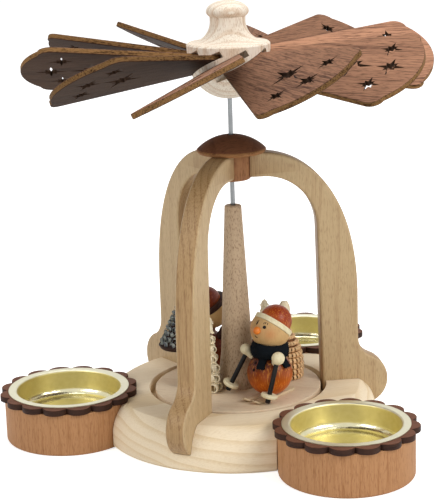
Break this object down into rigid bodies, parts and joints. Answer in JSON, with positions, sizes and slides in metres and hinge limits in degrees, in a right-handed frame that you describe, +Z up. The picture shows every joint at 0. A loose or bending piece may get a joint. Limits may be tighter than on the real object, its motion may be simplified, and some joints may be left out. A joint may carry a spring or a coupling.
{
  "type": "candle carousel",
  "caption": "Wooden candle carousel: tealight holders around a disc base, arched legs, and a pierced blade wheel that turns a plate with ski figures and curled-shaving trees",
  "frame": {"origin": "centre of the base disc's flat underside, on the spindle's axis", "axes": "Z up along the spindle; X to the viewer's right and Y away from the viewer in the usual front view"},
  "size_m": [0.1705, 0.1681, 0.1672],
  "materials": {
    "base_maple": "satin oiled",
    "bearing_brass": "turned",
    "leg_alder": "sanded",
    "turned_beech": "satin",
    "walnut": "satin",
    "tealight_metal": "bright rolled",
    "spindle_steel": "drawn",
    "plate_maple": "sanded",
    "column_pearwood": "sanded",
    "red_stain": "stained and lacquered",
    "orange_stain": "stained and lacquered",
    "dark_red_stain": "stained and lacquered",
    "face_wood": "lacquered",
    "nose_orange": "painted",
    "cream_band": "lacquered",
    "brown_band": "stained",
    "navy_felt": "brushed felt",
    "black_pole": "painted",
    "ski_lime": "lacquered",
    "cream_shavings": "shaved, bare",
    "tan_shavings": "shaved, bare",
    "dark_shavings": "shaved, stained",
    "hub_maple": "satin",
    "blade_walnut": "satin"
  },
  "bodies": {
    "stand": {"base_disc": "base_maple", "bearing_cup": "bearing_brass", "leg_right": "leg_alder", "leg_back_left": "leg_alder", "leg_front": "leg_alder", "guide_block": "turned_beech", "guide_bush": "bearing_brass", "dome_cap": "walnut", "holder_front_right": "turned_beech", "scalloped_ring_front_right": "walnut", "holder_back_right": "turned_beech", "scalloped_ring_back_right": "walnut", "holder_left": "turned_beech", "scalloped_ring_left": "walnut"},
    "turning_stage": {"spindle": "spindle_steel", "turning_plate": "plate_maple", "centre_column": "column_pearwood", "front_skier_body": "orange_stain", "front_skier_head": "face_wood", "front_skier_nose": "nose_orange", "front_skier_headband": "cream_band", "front_skier_hat": "red_stain", "front_skier_scarf": "navy_felt", "front_skier_left_mitten": "cream_band", "front_skier_left_pole": "black_pole", "front_skier_left_ski": "ski_lime", "front_skier_right_mitten": "cream_band", "front_skier_right_pole": "black_pole", "front_skier_right_ski": "ski_lime", "rear_skier_body": "dark_red_stain", "rear_skier_head": "face_wood", "rear_skier_nose": "nose_orange", "rear_skier_headband": "brown_band", "rear_skier_hat": "dark_red_stain", "rear_skier_left_mitten": "brown_band", "rear_skier_left_pole": "black_pole", "rear_skier_left_ski": "ski_lime", "rear_skier_right_mitten": "brown_band", "rear_skier_right_pole": "black_pole", "rear_skier_right_ski": "ski_lime", "curled_tree_front": "cream_shavings", "curled_tree_back": "cream_shavings", "curled_tree_broad": "tan_shavings", "dark_tree": "dark_shavings"},
    "wheel": {"wheel_hub": "hub_maple", "blade_01": "blade_walnut", "blade_02": "blade_walnut", "blade_03": "blade_walnut", "blade_04": "blade_walnut", "blade_05": "blade_walnut", "blade_06": "blade_walnut", "blade_07": "blade_walnut", "blade_08": "blade_walnut", "blade_09": "blade_walnut", "blade_10": "blade_walnut"},
    "tealight_cup_front_right": {"tealight_cup_front_right": "tealight_metal"},
    "tealight_cup_back_right": {"tealight_cup_back_right": "tealight_metal"},
    "tealight_cup_left": {"tealight_cup_left": "tealight_metal"}
  },
  "joints": [
    {"name": "stage_spin", "type": "hinge", "parent": "stand", "child": "turning_stage", "pos_m": [0, 0, 0.0145], "axis": [0, 0, 1], "continuous": true},
    {"name": "wheel_lift", "type": "slide", "parent": "turning_stage", "child": "wheel", "axis": [0, 0, 1], "range_m": [0, 0.014]},
    {"name": "cup_lift_front_right", "type": "slide", "parent": "stand", "child": "tealight_cup_front_right", "axis": [0, 0, 1], "range_m": [0, 0.012]},
    {"name": "cup_lift_back_right", "type": "slide", "parent": "stand", "child": "tealight_cup_back_right", "axis": [0, 0, 1], "range_m": [0, 0.012]},
    {"name": "cup_lift_left", "type": "slide", "parent": "stand", "child": "tealight_cup_left", "axis": [0, 0, 1], "range_m": [0, 0.012]}
  ]
}
